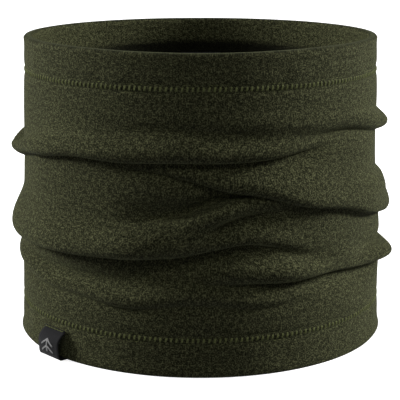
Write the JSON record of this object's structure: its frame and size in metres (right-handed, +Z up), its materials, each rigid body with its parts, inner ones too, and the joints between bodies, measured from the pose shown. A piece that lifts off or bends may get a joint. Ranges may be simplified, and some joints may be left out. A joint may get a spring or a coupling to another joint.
{
  "type": "neck gaiter",
  "caption": "Slouched fleece tube for the neck, open at both ends, with stitched hems, a looped hem label and folds that open.",
  "frame": {"origin": "on the tube's axis, in the plane of its bottom edge, which is the surface it stands on", "axes": "+Z up along the tube towards the top hem, -Y to the front, +X to the right seen from the front"},
  "size_m": [0.1722, 0.1722, 0.1325],
  "materials": {
    "fleece": "brushed, heathered dark olive fleece, matt with a soft light nap",
    "sewing_thread": "spun olive polyester sewing thread, satin",
    "label_tape": "tightly woven black tape, satin",
    "label_yarn": "light grey woven yarn, satin",
    "care_tape": "black satin ribbon, semi-gloss"
  },
  "bodies": {
    "lower": {"lower_band": "fleece", "bottom_hem_turn_in": "fleece", "bottom_hem_upper_needle_thread": "sewing_thread", "bottom_hem_lower_needle_thread": "sewing_thread", "bottom_hem_cover_thread": "sewing_thread", "back_seam_thread": "sewing_thread", "hem_label": "label_tape", "hem_label_mark": "label_yarn", "hem_label_stitch": "sewing_thread"},
    "lowest_fold": {"lowest_fold": "fleece"},
    "lower_fold": {"lower_fold": "fleece"},
    "upper_fold": {"upper_fold": "fleece"},
    "highest_fold": {"highest_fold": "fleece"},
    "upper": {"upper_band": "fleece", "top_hem_turn_in": "fleece", "top_hem_upper_needle_thread": "sewing_thread", "top_hem_lower_needle_thread": "sewing_thread", "top_hem_cover_thread": "sewing_thread", "care_label_stitch": "sewing_thread"},
    "care_label": {"care_label": "care_tape"}
  },
  "joints": [
    {"name": "pull_up", "type": "slide", "parent": "lower", "child": "upper", "axis": [0, 0, 1], "range_m": [0, 0.045], "deforming": ["back_seam_thread"]},
    {"name": "lowest_fold_rise", "type": "slide", "parent": "lower", "child": "lowest_fold", "axis": [0, 0, 1], "range_m": [0, 0.0015]},
    {"name": "lower_fold_rise", "type": "slide", "parent": "lower", "child": "lower_fold", "axis": [0, 0, 1], "range_m": [0, 0.0108]},
    {"name": "upper_fold_rise", "type": "slide", "parent": "lower", "child": "upper_fold", "axis": [0, 0, 1], "range_m": [0, 0.0268]},
    {"name": "highest_fold_rise", "type": "slide", "parent": "lower", "child": "highest_fold", "axis": [0, 0, 1], "range_m": [0, 0.0423]},
    {"name": "care_label_flip", "type": "hinge", "parent": "upper", "child": "care_label", "pos_m": [0, 0.07232, 0.1164], "axis": [1, 0, 0], "range_deg": [-170, 0]}
  ],
  "couplings": [
    {"joint": "lowest_fold_rise", "follows": "pull_up", "ratio": 0.028},
    {"joint": "lower_fold_rise", "follows": "pull_up", "ratio": 0.236},
    {"joint": "upper_fold_rise", "follows": "pull_up", "ratio": 0.592},
    {"joint": "highest_fold_rise", "follows": "pull_up", "ratio": 0.936}
  ]
}
